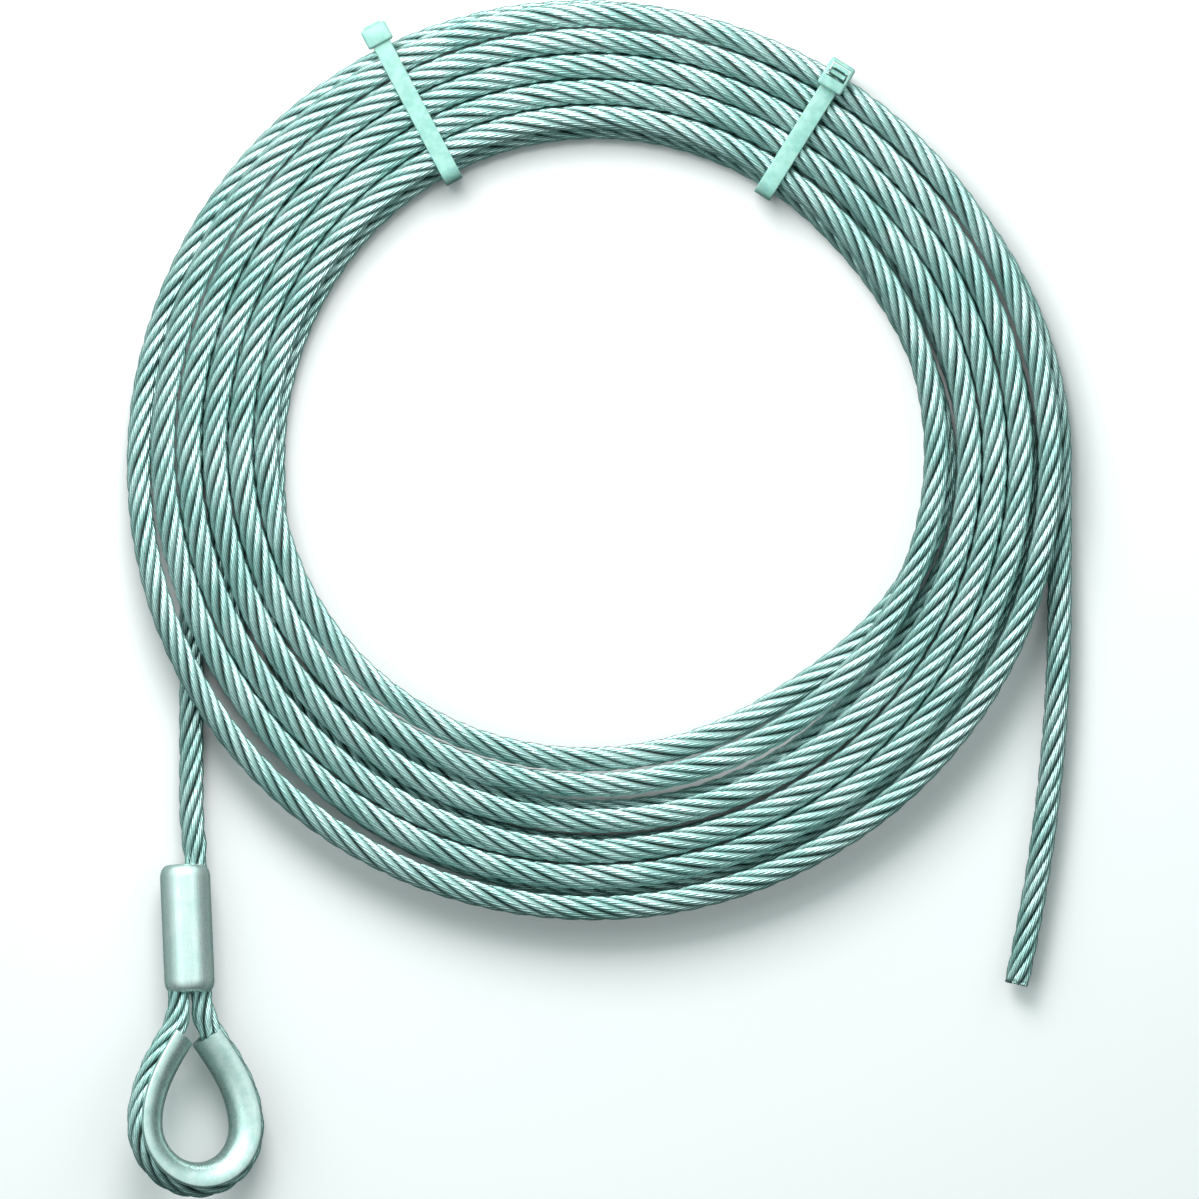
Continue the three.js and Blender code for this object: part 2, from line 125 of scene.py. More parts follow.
# The coil, with places along it counted in turns, clockwise from the left.
ROPE_RADIUS = 3.15
LOWER_Z = STRAP_THICKNESS + STRAP_GAP + ROPE_RADIUS
UPPER_Z = LOWER_Z + 6.45
COIL_TURNS = 9.5
STEPS_PER_TURN = 640
LOWER_RADIUS = 102.05
LOWER_SPACING = 6.8
UPPER_RADIUS = 82.25
UPPER_SPACING = 6.42
UPPER_START = 4

# Spans of the coil as (from, to), and steps in its radius as (from, to, width).
SWING = (3.5, 3.66)
CLIMB = (3.64, 3.8)
DROP = (8.935, 9.06)
TUCKS = [(8.875, 9.4, -7.2), (9.36, COIL_TURNS, 3.2)]
BULGES = [(0, 0.2, 2), (0.37, 0.54, 6.6), (0.54, 0.85, 2.4), (0.86, 1, -11)]
FILLS = [(1.62, 1.72, -2.6), (1.86, 2, 2.6), (2.5, 2.6, -4.6), (2.86, 3, 4.6)]

# The band's shape: a sway as (width, degrees), dents as (degrees, depth, sharpness), and gaps between
# upper turns as (turn, width, sharpness).
SWAY = (1.55, 135)
DENTS = [(55, 1.7, 8), (-105, 1.2, 6), (-75, 2.7, 5)]
GAPS = [(5.5, 1.6, 6), (5.708, 2.7, 5), (6.8, 1.3, 6), (8.64, 1.8, 3), (8.9, 1.7, 10)]

# The leg and the tail, measured down from the coil's centre.
LEG_LIFT_AT = 86
LEG_SLOPE = math.tan(math.radians(4.5))
LEG_BEND = (66, 78)
TAIL_STRAIGHT = 36
TAIL_CURVE = 0.00117
TAIL_END = 132
JOINT_GAP = 1.6
LEG_CUTS = (59, 77, 95)
COIL_CUTS = (3.172, 6.172)
TAIL_CUTS = (23, 41, 59)

# The eye, in a frame at the middle of the ferrule's upper end with -Y down to the crown.
EYE_ORIGIN = np.array([-103.7, -102.4, 8.2])
EYE_TURN = Euler([math.radians(-4.5), math.radians(22), math.radians(2.5)], "YXZ")
FERRULE_LENGTH = 32
FERRULE_RADIUS = 6.25
FERRULE_END_RADIUS = 5.3
FERRULE_TAPER = 3.2
FERRULE_LIP = 1.0
FERRULE_PLAIN_FROM = 6.2
BORE_OFFSET = 3
BORE_RADIUS = 2.8
SQUEEZE = 0.87
DEAD_END = 2.5
CROWN_Y = -65.2
GROOVE_CROWN_RADIUS = 14.6
GROOVE_RADIUS = 3.55
THIMBLE_RADIUS = 5.4
FLANGE = 1.3
RIM_ROUND = 0.55
THIMBLE_TIP = np.array([4.95, -42.2, 0.0])
TIP_ANGLE = math.radians(35)
TIP_LEAN = np.array([math.sin(TIP_ANGLE), -math.cos(TIP_ANGLE), 0])
TIP_OUTWARD = np.array([math.cos(TIP_ANGLE), math.sin(TIP_ANGLE), 0])
ROPE_STAND_OFF = 0.45
CROWN_REACH = 9
TIP_REACH = 8
THROAT_REACH = (3, 4.5)
LEAD_REACH = 6
CROWN_STEPS = 32
SIDE_STEPS = 40
THROAT_STEPS = 24
LEAD_STEPS = 16

# The squeeze of the ferrule fades in over the first span of Y and out over the second.
MOUTH_FADE = (-FERRULE_LENGTH - 6, -FERRULE_LENGTH - 1.5)
ENTRY_FADE = (0.5, 5)

# The stage. The camera's height is in metres, and the view's middle is below the coil's centre.
FLOOR_REACH = 8
FLOOR_GAP = 0.2
CAMERA_HEIGHT = 6.0
VIEW_MARGIN = 1.003
VIEW_OFFSET = np.array([0.12, 36.12, 0])


# ---- Curves ----


def smoothstep(value, low, high):
    share = np.clip((value - low) / (high - low), 0, 1)
    return share * share * (3 - 2 * share)


def bezier(a, b, c, d, steps):
    t = np.linspace(0, 1, steps + 1)[:, None]
    return (1 - t) ** 3 * a + 3 * (1 - t) ** 2 * t * b + 3 * (1 - t) * t * t * c + t**3 * d


def normalised(vectors):
    return vectors / np.linalg.norm(vectors, axis=-1, keepdims=True)


def length_along(points):
    return np.concatenate([[0], np.cumsum(np.linalg.norm(np.diff(points, axis=0), axis=1))])


def hump(angle, sharpness):
    """A round hump, 1 in the middle, that is narrower the sharper it is."""
    return ((1 + np.cos(angle)) / 2) ** sharpness


def layer_at(turn):
    """0 on the lower layer of the coil and 1 on the upper one."""
    return smoothstep(turn, *CLIMB) - smoothstep(turn, *DROP)


def stepped(turn, steps):
    return sum(width * smoothstep(turn, start, end) for start, end, width in steps)


def upper_radius(turn):
    angle = math.pi - TURN * turn
    width, degrees = SWAY
    radius = UPPER_RADIUS + UPPER_SPACING * (turn - UPPER_START)
    radius = radius + width * np.cos(angle - math.radians(degrees))
    for degrees, depth, sharpness in DENTS:
        radius = radius - depth * hump(angle - math.radians(degrees), sharpness)
    for middle, width, sharpness in GAPS:
        gap = width * hump(TURN * (turn - middle), sharpness)
        radius = radius + np.where(turn > middle - 0.5, gap, 0)
    return radius


def coil_radius(turn):
    turn = np.asarray(turn, float)
    lower = LOWER_RADIUS - LOWER_SPACING * turn + stepped(turn % 1, BULGES) + stepped(turn, FILLS)
    share = smoothstep(turn, *SWING)
    return lower * (1 - share) + upper_radius(turn) * share + stepped(turn, TUCKS)


def coil_points(turn):
    angle = math.pi - TURN * turn
    radius = coil_radius(turn)
    z = LOWER_Z + (UPPER_Z - LOWER_Z) * layer_at(turn)
    return np.stack([radius * np.cos(angle), radius * np.sin(angle), z], axis=1)


def leg_points(down):
    low, high = LEG_BEND
    down = np.atleast_1d(np.asarray(down, float))
    bent = np.clip(np.minimum(down, high) - low, 0, None) ** 2 / (2 * (high - low))
    z = LOWER_Z + LEG_SLOPE * (bent + np.clip(down - high, 0, None))
    return np.stack([np.full_like(down, -coil_radius(0)), -down, z], axis=1)


def tail_points(down):
    x = coil_radius(COIL_TURNS) - TAIL_CURVE * np.clip(down - TAIL_STRAIGHT, 0, None) ** 2
    return np.stack([x, -down, np.full_like(down, LOWER_Z)], axis=1)


def from_eye(points):
    """Points of the eye's frame, measured from the coil's centre."""
    return np.asarray(points, float) @ np.array(EYE_TURN.to_matrix()).T + EYE_ORIGIN


def eye_side(offset):
    """Half of the thimble's groove line, from the crown up the right side to the tip."""
    radius = GROOVE_CROWN_RADIUS + offset
    angle = np.linspace(-math.pi / 2, 0, CROWN_STEPS + 1)
    crown = np.stack([radius * np.cos(angle), CROWN_Y + radius * np.sin(angle), 0 * angle], axis=1)
    tip = THIMBLE_TIP + offset * TIP_OUTWARD
    rising = np.array([radius, CROWN_Y + CROWN_REACH, 0])
    side = bezier(crown[-1], rising, tip + TIP_REACH * TIP_LEAN, tip, SIDE_STEPS)
    return np.concatenate([crown, side[1:]])


def eye_rope():
    """The rope from its dead end in the ferrule, round the thimble and up to the leg."""
    side = eye_side(ROPE_STAND_OFF)
    tip = side[-1]
    mouth = np.array([BORE_OFFSET, -FERRULE_LENGTH, 0])
    from_tip, to_mouth = THROAT_REACH
    throat = bezier(tip, tip - from_tip * TIP_LEAN, mouth - [0, to_mouth, 0], mouth, THROAT_STEPS)
    half = np.concatenate([side, throat[1:]])
    mirrored = half[:0:-1] * [-1, 1, 1]
    dead_end = np.array([[-BORE_OFFSET, -DEAD_END, 0]])
    entry = np.array([[BORE_OFFSET, 0, 0]])
    local = from_eye(np.concatenate([dead_end, mirrored, half, entry]))
    down = from_eye([[0, -1, 0]])[0] - from_eye([[0, 0, 0]])[0]
    start = LEG_LIFT_AT + JOINT_GAP / 2
    leg_end, leg_reach = leg_points([start, start + LEAD_REACH])
    lead = bezier(local[-1], local[-1] - LEAD_REACH * down, leg_reach, leg_end, LEAD_STEPS)
    return np.concatenate([local, lead[1:]]), start


class Rope:
    """The whole rope's centre line at even steps, with a frame that doesn't twist about it."""

    def __init__(self):
        eye, leg_from = eye_rope()
        leg = leg_points(np.arange(leg_from - 1, 0, -1))
        coil = coil_points(np.arange(COIL_TURNS * STEPS_PER_TURN) / STEPS_PER_TURN)
        tail = tail_points(np.arange(0, TAIL_END + 0.25, 0.5))
        rough = np.concatenate([eye, leg, coil, tail])
        along = length_along(rough)
        self.coil_at = along[len(eye) + len(leg) :]
        self.leg_start = self.coil_at[0]
        self.tail_start = self.coil_at[len(coil)]
        self.steps = round(along[-1] / STATION_STEP)
        self.at = np.linspace(0, along[-1], self.steps + 1)
        even = np.stack([np.interp(self.at, along, rough[:, k]) for k in range(3)], axis=1)
        self.points = self.relaxed(even)
        self.tangents = normalised(np.gradient(self.points, axis=0))
        self.sides = self.carried(np.cross(self.tangents[0], UP))
        self.others = np.cross(self.tangents, self.sides)
        local_y = (self.points - EYE_ORIGIN) @ np.array(EYE_TURN.to_matrix())[:, 1]
        squeezed = smoothstep(local_y, *MOUTH_FADE) - smoothstep(local_y, *ENTRY_FADE)
        squeezed = squeezed * (self.at < self.leg_start)
        self.scale = 1 + (SQUEEZE - 1) * squeezed
        self.points = self.points + COIL_CENTRE

    @staticmethod
    def relaxed(points):
        """Evens out the steps in curvature where two curves meet; both ends stay."""
        kernel = np.array([1, 4, 6, 4, 1]) / 16
        padded = np.concatenate([2 * points[0] - points[2:0:-1], points, 2 * points[-1] - points[-2:-4:-1]])
        return np.stack([np.convolve(padded[:, k], kernel, "valid") for k in range(3)], axis=1)

    def carried(self, first):
        sides = np.empty_like(self.points)
        sides[0] = first / np.linalg.norm(first)
        for i in range(1, len(sides)):
            side = sides[i - 1] - self.tangents[i] * (sides[i - 1] @ self.tangents[i])
            sides[i] = side / np.linalg.norm(side)
        return sides

    def at_turn(self, turn):
        """Length along the rope at a place in the coil."""
        return self.coil_at[round(turn * STEPS_PER_TURN)]

    def index(self, along):
        return int(np.clip(round(along / STATION_STEP), 0, self.steps))

    def around(self, stations, angle, radius):
        """Offsets from the centre line, with one row per station and one column per angle."""
        sides = self.sides[stations][:, None, :]
        others = self.others[stations][:, None, :]
        return radius[..., None] * (np.cos(angle)[..., None] * sides + np.sin(angle)[..., None] * others)


# ---- Meshes ----


def new_object(name, points, faces, smooth=True):
    """A mesh object from points in millimetres and arrays of faces, each array with one corner count.

    Faces with more than four corners are end caps and stay flat."""
    mesh = bpy.data.meshes.new(name)
    corners = np.concatenate([f.ravel() for f in faces])
    sizes = np.concatenate([np.full(len(f), f.shape[1]) for f in faces])
    starts = np.concatenate([[0], np.cumsum(sizes)[:-1]])
    mesh.vertices.add(len(points))
    mesh.vertices.foreach_set("co", (points * MM).astype(np.float32).ravel())
    mesh.loops.add(len(corners))
    mesh.loops.foreach_set("vertex_index", corners.astype(np.int32))
    mesh.polygons.add(len(sizes))
    mesh.polygons.foreach_set("loop_start", starts.astype(np.int32))
    mesh.polygons.foreach_set("use_smooth", smooth & (sizes <= 4))
    mesh.update(calc_edges=True)
    mesh.validate()
    made = bpy.data.objects.new(name, mesh)
    bpy.context.scene.collection.objects.link(made)
    return made


def tube(rings):
    """Points and faces of a closed tube through rings of points that all run the same way."""
    count, sides = rings.shape[:2]
    ring, side = np.meshgrid(np.arange(count - 1), np.arange(sides), indexing="ij")
    a = ring * sides + side
    b = ring * sides + (side + 1) % sides
    walls = np.stack([a, b, b + sides, a + sides], axis=-1).reshape(-1, 4)
    first = np.arange(sides)[None, ::-1]
    last = (count - 1) * sides + np.arange(sides)[None, :]
    return rings.reshape(-1, 3), [walls, first, last]


def set_attribute(made, name, values):
    """One number or one vector per vertex, for the material to read."""
    kind = "FLOAT" if values.ndim == 1 else "FLOAT_VECTOR"
    attribute = made.data.attributes.new(name, kind, "POINT")
    attribute.data.foreach_set("value" if values.ndim == 1 else "vector", values.astype(np.float32).ravel())


def applied(made):
    """Replaces the object's mesh with what its modifiers make of it."""
    depsgraph = bpy.context.evaluated_depsgraph_get()
    mesh = bpy.data.meshes.new_from_object(made.evaluated_get(depsgraph), depsgraph=depsgraph)
    made.modifiers.clear()
    made.data = mesh
    return made


def combine(made, other, operation):
    modifier = made.modifiers.new("boolean", "BOOLEAN")
    modifier.operation = operation
    modifier.solver = "EXACT"
    modifier.object = other
    applied(made)
    bpy.data.objects.remove(other)
    return made


def bevelled(made, width, segments, angle=30):
    modifier = made.modifiers.new("bevel", "BEVEL")
    modifier.width = width * MM
    modifier.segments = segments
    modifier.limit_method = "ANGLE"
    modifier.angle_limit = math.radians(angle)
    return applied(made)


def shade(made, angle):
    made.data.polygons.foreach_set("use_smooth", np.ones(len(made.data.polygons), bool))
    made.data.set_sharp_from_angle(angle=math.radians(angle))
    return made


def block(name, x, y, z):
    """A box between limits, as a start for cutting and bevelling."""
    corners = np.array([[a, b, c] for c in z for b in y for a in x], float)
    faces = np.array([[0, 2, 3, 1], [4, 5, 7, 6], [0, 1, 5, 4], [2, 6, 7, 3], [0, 4, 6, 2], [1, 3, 7, 5]])
    return new_object(name, corners, [faces], smooth=False)


def finish_piece(made, material, body=None):
    made.data.materials.clear()
    made.data.materials.append(material)
    if body:
        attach(made, body)
    return made


# ---- Materials ----


class Nodes:
    """Short names for the shader nodes that the materials below share."""

    def __init__(self, owner, shader="Principled BSDF"):
        owner.use_nodes = True
        self.owner = owner
        self.tree = owner.node_tree
        self.shader = self.tree.nodes[shader]

    def link(self, value, socket):
        if isinstance(value, bpy.types.NodeSocket):
            self.tree.links.new(value, socket)
        else:
            socket.default_value = value

    def node(self, kind, inputs, **settings):
        made = self.tree.nodes.new("ShaderNode" + kind)
        for name, value in settings.items():
            setattr(made, name, value)
        for key, value in inputs.items():
            self.link(value, made.inputs[key])
        return made

    def attribute(self, name):
        return self.node("Attribute", {}, attribute_name=name).outputs

    def place(self):
        """Position in the part's frame, in millimetres."""
        spot = self.node("TexCoord", {}).outputs["Object"]
        return self.node("VectorMath", {0: spot, 3: 1 / MM}, operation="SCALE").outputs[0]

    def stretched(self, vector, factors):
        return self.node("VectorMath", {0: vector, 1: factors}, operation="MULTIPLY").outputs[0]

    def noise(self, vector, scale, detail=3.0, roughness=0.55):
        inputs = {"Vector": vector, "Scale": scale, "Detail": detail, "Roughness": roughness}
        return self.node("TexNoise", inputs).outputs[0]

    def calc(self, operation, *values):
        return self.node("Math", dict(enumerate(values)), operation=operation).outputs[0]

    def spread(self, value, low, high, to_low=0.0, to_high=1.0):
        inputs = {0: value, 1: low, 2: high, 3: to_low, 4: to_high}
        return self.node("MapRange", inputs, interpolation_type="SMOOTHSTEP").outputs[0]

    def mix(self, share, a, b):
        return self.node("Mix", {0: share, 6: a, 7: b}, data_type="RGBA").outputs[2]

    def bump(self, height, distance, strength=1.0, normal=None):
        inputs = {"Height": height, "Distance": distance * MM, "Strength": strength}
        if normal is not None:
            inputs["Normal"] = normal
        return self.node("Bump", inputs).outputs[0]

    def done(self, **values):
        for name, value in values.items():
            self.link(value, self.shader.inputs[name.replace("_", " ")])
        return self.owner


def material(name):
    return Nodes(bpy.data.materials.new(name))


def rgb(red, green, blue):
    return (red, green, blue, 1.0)


def wire_material():
    """Galvanised drawn wire, with painted shade in its hollows. The lay attribute holds length along the
    rope, wire number and depth.
    """
    n = material("galvanised_wire")
    lay = n.attribute("lay")["Vector"]
    depth = n.node("SeparateXYZ", {0: lay}).outputs[2]
    drawn = n.noise(n.stretched(lay, (0.35, 9.0, 0.0)), 1.0, 4.0, 0.6)
    patches = n.noise(n.place(), 0.07, 3.0)
    speckle = n.noise(n.place(), 2.6, 2.0)
    bright = n.mix(n.spread(patches, 0.35, 0.65), rgb(0.44, 0.72, 0.68), rgb(0.67, 0.92, 0.89))
    dull = n.mix(n.spread(speckle, 0.42, 0.66), bright, rgb(0.16, 0.38, 0.35))
    zinc = n.mix(n.spread(drawn, 0.3, 0.7, 0.0, 0.75), bright, dull)
    # Painted shade: a near-black teal where depth is low, in the valleys between wires and strands and down
    # towards the core, standing in for the shade that falls there.
    painted_crevice_shade = n.mix(n.spread(patches, 0.4, 0.6), rgb(0.003, 0.018, 0.015), rgb(0.010, 0.036, 0.031))
    crevice = n.spread(depth, 0.32, 0.92)
    colour = n.mix(crevice, painted_crevice_shade, zinc)
    rough = n.calc("ADD", n.spread(drawn, 0.25, 0.75, 0.25, 0.43), n.spread(crevice, 0, 1, 0.25, 0))
    metal = n.spread(crevice, 0.0, 0.5, 0.35, 0.88)
    normal = n.bump(drawn, 0.05, 0.35, n.bump(speckle, 0.03, 0.2))
    return n.done(Base_Color=colour, Metallic=metal, Roughness=rough, Normal=normal)


def core_material():
    n = material("oiled_fibre")
    lay = n.attribute("lay")["Vector"]
    fibre = n.noise(n.stretched(lay, (0.8, 14.0, 1.0)), 1.0, 5.0, 0.7)
    oil = n.noise(n.place(), 0.5)
    clean = n.mix(n.spread(fibre, 0.3, 0.7), rgb(0.30, 0.24, 0.13), rgb(0.62, 0.53, 0.34))
    colour = n.mix(n.spread(oil, 0.4, 0.65, 0.1, 0.7), clean, rgb(0.10, 0.09, 0.05))
    return n.done(Base_Color=colour, Roughness=0.85, Normal=n.bump(fibre, 0.12, 0.8))


def ferrule_material():
    n = material("pressed_aluminium")
    spot = n.place()
    die_lines = n.noise(n.stretched(spot, (3.0, 0.10, 3.0)), 1.0, 4.0, 0.6)
    cloud = n.noise(spot, 0.22)
    pits = n.noise(spot, 3.2, 2.0)
    light = n.mix(n.spread(cloud, 0.35, 0.65), rgb(0.74, 0.93, 0.89), rgb(0.85, 0.98, 0.95))
    streak = n.mix(n.spread(die_lines, 0.45, 0.75, 0, 0.5), light, rgb(0.62, 0.82, 0.78))
    colour = n.mix(n.spread(pits, 0.66, 0.80, 0, 0.2), streak, rgb(0.35, 0.44, 0.43))
    rough = n.spread(die_lines, 0.3, 0.7, 0.20, 0.32)
    normal = n.bump(die_lines, 0.06, 0.4, n.bump(pits, 0.01, 0.2))
    return n.done(Base_Color=colour, Metallic=0.65, Roughness=rough, Normal=normal)


def zinc_material():
    n = material("zinc_plate")
    spot = n.place()
    spangle = n.noise(spot, 0.35, 3.0)
    scratches = n.noise(n.stretched(spot, (1.2, 0.5, 3.5)), 2.0, 5.0, 0.65)
    stain = n.noise(spot, 0.12, 4.0)
    plate = n.mix(n.spread(spangle, 0.35, 0.65), rgb(0.66, 0.88, 0.83), rgb(0.80, 0.96, 0.92))
    worn = n.mix(n.spread(scratches, 0.55, 0.75, 0, 0.5), plate, rgb(0.42, 0.60, 0.57))
    colour = n.mix(n.spread(stain, 0.55, 0.75, 0, 0.4), worn, rgb(0.35, 0.52, 0.48))
    rough = n.spread(scratches, 0.3, 0.7, 0.24, 0.42)
    normal = n.bump(scratches, 0.04, 0.35, n.bump(spangle, 0.15, 0.15))
    return n.done(Base_Color=colour, Metallic=0.82, Roughness=rough, Normal=normal)


def nylon_material():
    n = material("natural_nylon")
    spot = n.place()
    flow = n.noise(n.stretched(spot, (0.5, 0.5, 0.9)), 0.8, 3.0)
    grain = n.noise(spot, 5.0, 2.0)
    colour = n.mix(n.spread(flow, 0.35, 0.65), rgb(0.27, 0.54, 0.48), rgb(0.36, 0.63, 0.57))
    shader = {"Subsurface_Weight": 0.6, "Subsurface_Scale": 1.2 * MM, "IOR": 1.53}
    rough = n.spread(grain, 0.3, 0.7, 0.38, 0.52)
    return n.done(Base_Color=colour, Roughness=rough, Normal=n.bump(grain, 0.03, 0.3), **shader)


MATERIALS = {
    "wire": wire_material(),
    "core": core_material(),
    "ferrule": ferrule_material(),
    "zinc": zinc_material(),
    "nylon": nylon_material(),
}


# ---- The rope ----


def strand_section():
    """One strand's outline as a radius and an angle: round wires side by side, with a valley between."""
    centre = STRAND_RADIUS - WIRE_RADIUS
    bulge = np.radians([-WIRE_FACE, 0, WIRE_FACE])
    out = centre + WIRE_RADIUS * np.cos(bulge)
    across = WIRE_RADIUS * np.sin(bulge)
    radius = np.concatenate([[WIRE_VALLEY * STRAND_RADIUS], np.hypot(out, across)])
    angle = np.concatenate([[-math.pi / WIRES], np.arctan2(across, out)])
    turned = TURN * np.arange(WIRES)[:, None] / WIRES + angle
    return np.tile(radius, WIRES), turned.ravel()


def strand_rings(rope, stations, number):
    """Rings of one strand, square to the strand's own direction, and the lay attribute of each point."""
    wave = STRAND_WAVE["size"] * np.sin(rope.at / STRAND_WAVE["length"] + STRAND_WAVE["apart"] * number)
    phase = TURN * number / STRANDS + wave
    twist = (phase + TURN * rope.at / LAY_LENGTH)[stations]
    scale = rope.scale[stations]
    helix = scale * STRAND_HELIX_RADIUS
    outward = rope.around(stations, twist[:, None], np.ones((len(stations), 1)))[:, 0]
    sideways = rope.around(stations, twist[:, None] + math.pi / 2, np.ones((len(stations), 1)))[:, 0]
    pitch = np.arctan2(TURN * helix, LAY_LENGTH)[:, None]
    across = sideways * np.cos(pitch) - rope.tangents[stations] * np.sin(pitch)
    radius, angle = strand_section()
    turned = angle[None, :] - (TURN * rope.at[stations] / WIRE_LAY_LENGTH)[:, None]
    out = radius * scale[:, None] * np.cos(turned)
    aside = radius * scale[:, None] * np.sin(turned)
    centres = rope.points[stations] + outward * helix[:, None]
    rings = centres[:, None] + out[..., None] * outward[:, None] + aside[..., None] * across[:, None]
    from_axis = np.hypot(helix[:, None] + out, aside) / scale[:, None]
    height = (from_axis - CORE_RADIUS) / (STRAND_HELIX_RADIUS + STRAND_RADIUS - CORE_RADIUS)
    valley = (radius / STRAND_RADIUS - WIRE_VALLEY) / (1 - WIRE_VALLEY)
    # depth is 0 deep in the valleys and near the core and 1 on the crowns; the wire material paints shade
    # where it is low.
    depth = np.clip(height, 0, 1) * (1 - VALLEY_SHADE + VALLEY_SHADE * valley)
    wire = np.repeat(np.arange(WIRES), POINTS_PER_WIRE) + GRAIN_SHIFT * number
    along = np.broadcast_to(rope.at[stations][:, None], out.shape)
    lay = np.stack([along, np.broadcast_to(wire, out.shape), depth], axis=-1)
    return rings, lay.reshape(-1, 3)


def core_rings(rope, stations):
    """The core: three yarns twisted together, filling the space between the strands."""
    angle = TURN * np.arange(CORE_POINTS) / CORE_POINTS
    twist = (TURN * rope.at / LAY_LENGTH)[stations][:, None]
    lobes = 1 - CORE_GROOVE * (1 + np.cos(CORE_YARNS * angle)) / 2
    radius = CORE_RADIUS * rope.scale[stations][:, None] * lobes
    rings = rope.points[stations][:, None] + rope.around(stations, angle + twist, radius)
    along = np.broadcast_to(rope.at[stations][:, None], radius.shape)
    lay = np.stack([along, np.broadcast_to(angle, radius.shape), np.ones(radius.shape)], axis=-1)
    return rings, lay.reshape(-1, 3)


def tucked(rings, stations, steps):
    """Draws the spare ring at each end back to just past the cut, so that both sides shade alike there."""
    spare = 0.03
    if stations[0] > 0:
        rings[0] = rings[1] + spare * (rings[0] - rings[1])
    if stations[-1] < steps:
        rings[-1] = rings[-2] + spare * (rings[-1] - rings[-2])
    return rings


def stretch(rope, name, start, end, replaced, body=None, bend=None):
    """Six strands and the core between two lengths along the rope, riding on a body, or, given a bend, with
    their placement baked in and no body.
    """
    first = max(rope.index(start) - 1, 0)
    last = min(rope.index(end) + 1, rope.steps)
    stations = np.arange(first, last + 1)
    parts = [(f"{name}_strand_{k + 1}", *strand_rings(rope, stations, k), "wire") for k in range(STRANDS)]
    parts.append((f"{name}_core", *core_rings(rope, stations), "core"))
    for part, rings, lay, finish in parts:
        made = new_object(part, *tube(tucked(rings, stations, rope.steps)))
        set_attribute(made, "lay", lay)
        finish_piece(made, MATERIALS[finish], body)
        if bend:
            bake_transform(made)
        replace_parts(made, *replaced)


def wire_ends(rope):
    """The cut face of the tail: every wire's own blunt end, some a little proud of their neighbours."""
    angle = TURN * np.arange(END_SIDES) / END_SIDES
    last = np.array([rope.steps])
    ring_radius = STRAND_RADIUS - WIRE_RADIUS
    spots = [(0.0, 0.0, KING_WIRE * WIRE_RADIUS)]
    spots += [(ring_radius, TURN * k / WIRES, END_FILL * WIRE_RADIUS) for k in range(WIRES)]

    def spot_offset(turned, out):
        return rope.around(last, np.array([[turned]]), np.array([[out]]))[0, 0]

    points, faces, wires = [], [], []
    for number in range(STRANDS):
        twist = TURN * number / STRANDS + TURN * rope.at[-1] / LAY_LENGTH
        centre = rope.points[-1] + spot_offset(twist, STRAND_HELIX_RADIUS)
        for k, (out, turned, radius) in enumerate(spots):
            middle = centre + spot_offset(twist + turned, out)
            proud = END_PROUD * ((number * 7 + k * 5) % 4) / 3
            rings = []
            for step, narrow in END_PROFILE:
                ring = rope.around(last, angle[None, :], np.full((1, END_SIDES), radius * narrow))[0]
                rings.append(middle + ring + (step + proud) * rope.tangents[-1])
            body, sides = tube(np.array(rings))
            faces.append([f + len(points) * len(body) for f in sides])
            points.append(body)
            wires.append(np.tile([rope.at[-1], GRAIN_SHIFT * number + k, END_DEPTH], (len(body), 1)))
    joined = [np.concatenate([f[n] for f in faces]) for n in range(3)]
    made = new_object("tail_wire_ends", np.concatenate(points), joined)
    set_attribute(made, "lay", np.concatenate(wires))
    finish_piece(made, MATERIALS["wire"], "tail_end")


def build_rope():
    rope = Rope()
    leg = [rope.leg_start - down for down in LEG_CUTS]
    tail = [rope.tail_start + down for down in TAIL_CUTS]
    coil = [rope.at_turn(turn) for turn in COIL_CUTS]
    eye_nodes = ["eye_core"] + [f"eye_strand_{k + 1}" for k in range(STRANDS)]
    tail_nodes = ["tail_core"] + [f"tail_strand_{k + 1}" for k in range(STRANDS)]
    stretch(rope, "eye", 0, leg[2], eye_nodes, body="eye_end")
    stretch(rope, "leg_lift", leg[2], leg[1], ["leg_rope"], bend=("leg_lift", "leg_link", "eye_end"))
    stretch(rope, "leg_swing", leg[1], leg[0], ["leg_rope"], bend=("leg_swing", "coil", "leg_link"))
    stretch(rope, "coil_lower", leg[0], coil[0], ["coil_rope"], body="coil")
    stretch(rope, "coil_inner", coil[0], coil[1], ["coil_rope"], body="coil")
    stretch(rope, "coil_outer", coil[1], tail[0], ["coil_rope"], body="coil")
    stretch(rope, "tail_swing", tail[0], tail[1], ["tail_rope"], bend=("tail_swing", "coil", "tail_link"))
    stretch(rope, "tail_lift", tail[1], tail[2], ["tail_rope"], bend=("tail_lift", "tail_link", "tail_end"))
    stretch(rope, "tail", tail[2], rope.at[-1], tail_nodes, body="tail_end")
    wire_ends(rope)


# ---- The eye's fittings ----


def lathe(name, profile, sides=96):
    """A closed solid turned about Y, from (radius, y) pairs that start and end on the axis."""
    angle = TURN * np.arange(sides) / sides
    radius, y = profile[1:-1, :1], profile[1:-1, 1:]
    height = np.broadcast_to(y, (len(y), sides))
    rings = np.stack([radius * np.cos(angle), height, -radius * np.sin(angle)], axis=-1)
    return new_object(name, *tube(rings))


